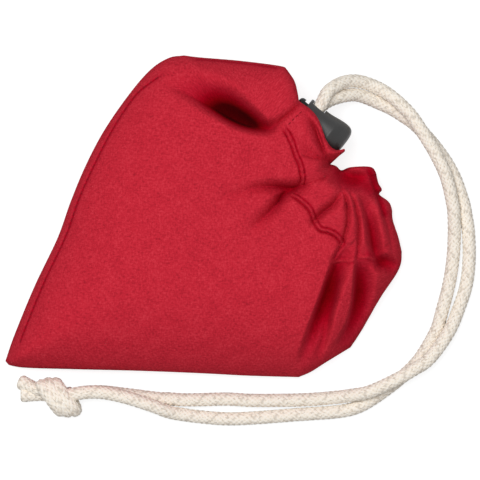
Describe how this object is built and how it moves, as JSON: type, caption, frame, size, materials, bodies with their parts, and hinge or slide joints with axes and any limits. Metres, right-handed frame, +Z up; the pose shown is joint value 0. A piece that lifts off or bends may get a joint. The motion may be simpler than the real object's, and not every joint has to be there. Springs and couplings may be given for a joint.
{
  "type": "foldable cotton bag",
  "caption": "Foldable cotton bag stowed in its own drawstring pouch, lying flat, with a doubled cord, a spring cord lock and a knotted end.",
  "frame": {"origin": "middle of the pouch's bounding box at the height of the surface it lies on; the free cord is left out of that box", "axes": "+X towards the drawn mouth's ruffle, +Y towards the cord lock's side, +Z up out of the surface the bag lies on"},
  "size_m": [0.1878, 0.1476, 0.0321],
  "materials": {
    "cotton_red": "matt woven",
    "cord_natural": "matt braided",
    "lock_plastic": "fine matt",
    "spring_steel": "bright wire"
  },
  "bodies": {
    "bag": {"pouch": "cotton_red", "folded_bag": "cotton_red", "cord_strand_upper": "cord_natural", "cord_strand_lower": "cord_natural", "end_knot": "cord_natural", "lock_barrel": "lock_plastic", "lock_spring": "spring_steel"},
    "plunger": {"lock_plunger": "lock_plastic"}
  },
  "joints": [
    {"name": "lock_press", "type": "slide", "parent": "bag", "child": "plunger", "axis": [0.7793, -0.6266, 0], "range_m": [0, 0.0031], "stiffness_N_per_m": 900, "springref_m": -0.002, "deforming": ["lock_spring"]}
  ]
}
